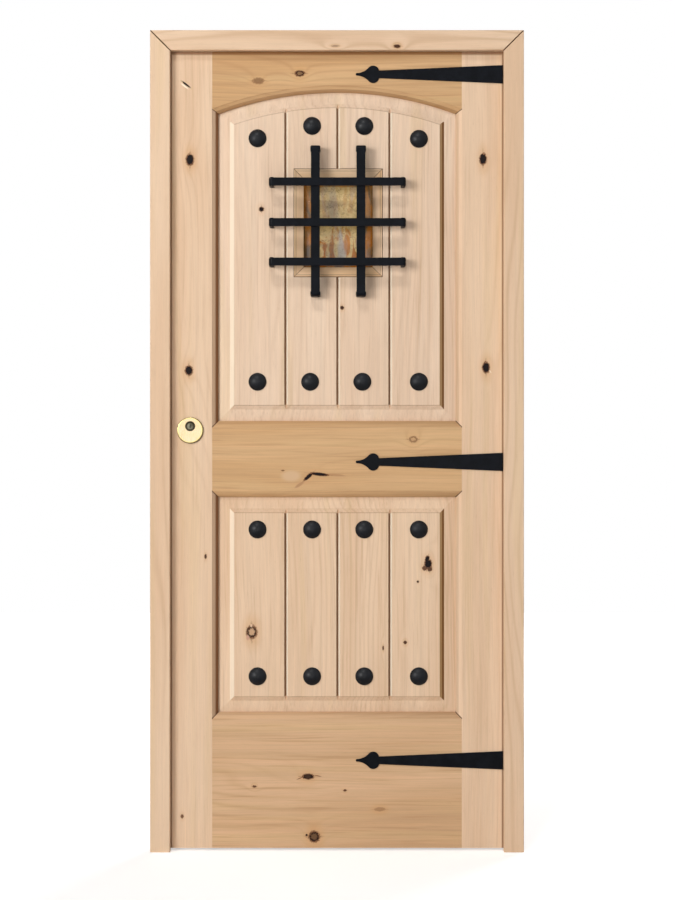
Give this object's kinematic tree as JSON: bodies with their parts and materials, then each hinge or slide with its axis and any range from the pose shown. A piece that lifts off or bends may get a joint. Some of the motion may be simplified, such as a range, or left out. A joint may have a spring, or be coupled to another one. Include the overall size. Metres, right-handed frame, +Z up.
{
  "type": "exterior door",
  "caption": "Knotty alder exterior door in its frame: arched raised panel, barred window with opening sash, clavos, strap hinges and rim lock.",
  "frame": {"origin": "floor level, middle of the frame's width, middle of the leaf's thickness", "axes": "+X towards the hinge side, -Y towards the street, +Z up"},
  "size_m": [0.955, 0.1383, 2.1],
  "materials": {
    "alder_casing": "sanded bare alder",
    "alder_stile": "sanded bare alder with knots",
    "alder_rail": "sanded bare alder, level grain",
    "alder_panel": "sanded bare alder",
    "window_wood": "sanded bare alder",
    "dowel_wood": "turned beech",
    "black_iron": "black forged iron",
    "steel": "satin",
    "lock_brass": "polished",
    "cylinder_metal": "dull nickel",
    "lock_enamel": "brown enamel",
    "amber_glass": "amber art glass, bevelled",
    "seal_rubber": "matt"
  },
  "bodies": {
    "frame": {"lock_jamb": "alder_casing", "hinge_jamb": "alder_casing", "head_jamb": "alder_casing", "lock_casing": "alder_casing", "hinge_casing": "alder_casing", "head_casing": "alder_casing", "weather_seal": "seal_rubber", "lock_keeper": "lock_enamel", "frame_hinge_leaf_bottom": "steel", "frame_hinge_leaf_middle": "steel", "frame_hinge_leaf_top": "steel", "hinge_pins": "steel", "frame_screws": "steel"},
    "leaf": {"lock_stile": "alder_stile", "hinge_stile": "alder_stile", "top_rail": "alder_rail", "mid_rail": "alder_rail", "bottom_rail": "alder_rail", "upper_panel": "alder_panel", "lower_panel": "alder_panel", "lining_left": "window_wood", "lining_top": "window_wood", "lining_right": "window_wood", "lining_bottom": "window_wood", "rail_dowels": "dowel_wood", "clavos_upper": "black_iron", "clavos_lower": "black_iron", "grille_bar_top": "black_iron", "grille_bar_middle": "black_iron", "grille_bar_bottom": "black_iron", "grille_bar_left": "black_iron", "grille_bar_right": "black_iron", "grille_nuts": "black_iron", "strap_top": "black_iron", "strap_middle": "black_iron", "strap_bottom": "black_iron", "door_hinge_leaf_bottom": "steel", "door_hinge_leaf_middle": "steel", "door_hinge_leaf_top": "steel", "leaf_screws": "steel", "button_screw": "steel", "window_hinge_leaves": "steel", "window_hinge_pins": "steel", "lock_rosette": "lock_brass", "lock_cylinder": "cylinder_metal", "lock_case": "lock_enamel"},
    "sash": {"sash_left": "window_wood", "sash_top": "window_wood", "sash_right": "window_wood", "sash_bottom": "window_wood", "sash_glass": "amber_glass", "sash_beads": "window_wood", "sash_hinge_leaves": "steel", "sash_screws": "steel"},
    "window_button": {"turn_button": "lock_brass"},
    "lock_spindle": {"lock_plug": "cylinder_metal", "lock_pinion": "steel", "thumb_turn": "lock_brass"},
    "lock_bolts": {"deadbolt": "steel"}
  },
  "joints": [
    {"name": "door_swing", "type": "hinge", "parent": "frame", "child": "leaf", "pos_m": [0.437, 0.0305, 1.0325], "axis": [0, 0, -1], "range_deg": [0, 170]},
    {"name": "sash_swing", "type": "hinge", "parent": "leaf", "child": "sash", "pos_m": [0.11625, 0.0227, 1.6107], "axis": [0, 0, -1], "range_deg": [0, 120]},
    {"name": "window_button_turn", "type": "hinge", "parent": "leaf", "child": "window_button", "pos_m": [-0.1195, 0.0223, 1.6107], "axis": [0, 1, 0], "range_deg": [-90, 90]},
    {"name": "lock_turn", "type": "hinge", "parent": "leaf", "child": "lock_spindle", "pos_m": [-0.3763, 0, 1.0887], "axis": [0, 1, 0], "range_deg": [0, 180]},
    {"name": "bolt_slide", "type": "slide", "parent": "leaf", "child": "lock_bolts", "axis": [-1, 0, 0], "range_m": [0, 0.02199]}
  ],
  "couplings": [
    {"joint": "lock_turn", "follows": "bolt_slide", "rad_per_m": 142.86}
  ]
}
